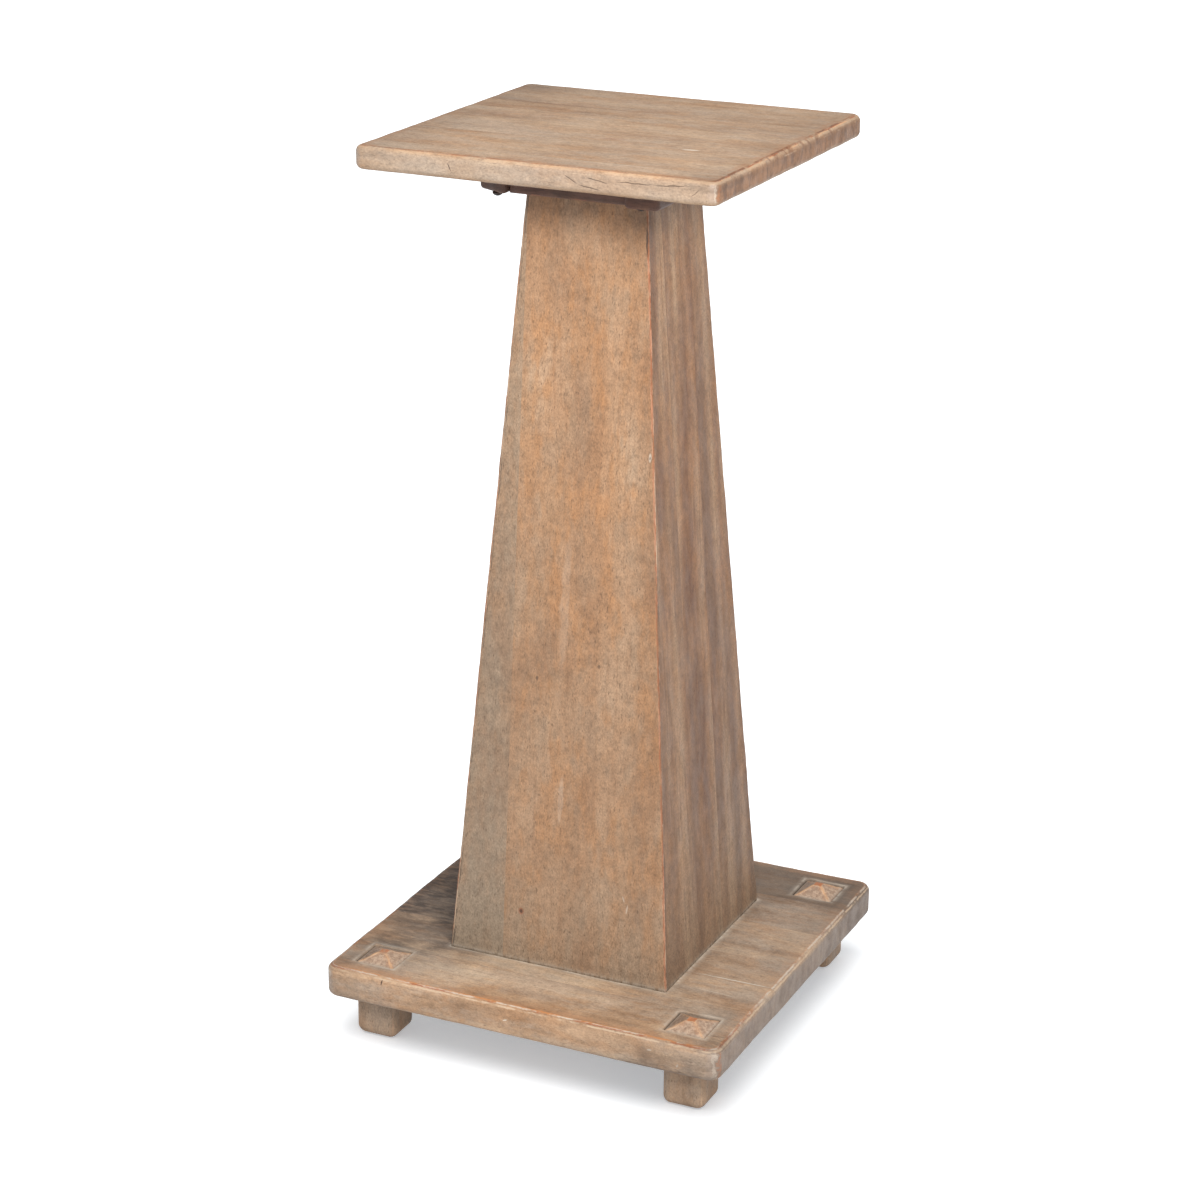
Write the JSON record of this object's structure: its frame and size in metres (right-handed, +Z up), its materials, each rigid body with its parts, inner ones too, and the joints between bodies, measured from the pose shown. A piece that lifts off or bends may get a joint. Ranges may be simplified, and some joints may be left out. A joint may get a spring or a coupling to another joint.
{
  "type": "plinth pedestal",
  "caption": "Square wooden plinth pedestal: a tapered box column between a flat top board and a square base on short block feet.",
  "frame": {"origin": "on the floor, under the middle of the base board", "axes": "+Z up through the middle of the column, -Y towards the front of the column, +X to the front's right-hand side"},
  "size_m": [0.4324, 0.4324, 0.9144],
  "materials": {
    "top_wood": "weathered grey-brown wash, satin, worn orange edges",
    "column_wood": "weathered brown wash, satin, worn pale edges",
    "base_wood": "weathered grey wash, satin, worn orange edges",
    "foot_wood": "weathered grey-brown wash on end grain, worn orange ridges",
    "shaded_wood": "dark reddish-brown stain, matt",
    "screw_steel": "blackened, satin"
  },
  "bodies": {
    "root": {"top_board": "top_wood", "mounting_board": "shaded_wood", "cleat_left": "shaded_wood", "cleat_right": "shaded_wood", "cleat_screw_front_left": "screw_steel", "cleat_screw_front_right": "screw_steel", "cleat_screw_back_left": "screw_steel", "cleat_screw_back_right": "screw_steel", "column_board_front": "column_wood", "column_board_right": "column_wood", "column_board_back": "column_wood", "column_board_left": "column_wood", "base_board": "base_wood", "foot_post_front_left": "foot_wood", "foot_post_front_right": "foot_wood", "foot_post_back_left": "foot_wood", "foot_post_back_right": "foot_wood"}
  },
  "joints": []
}
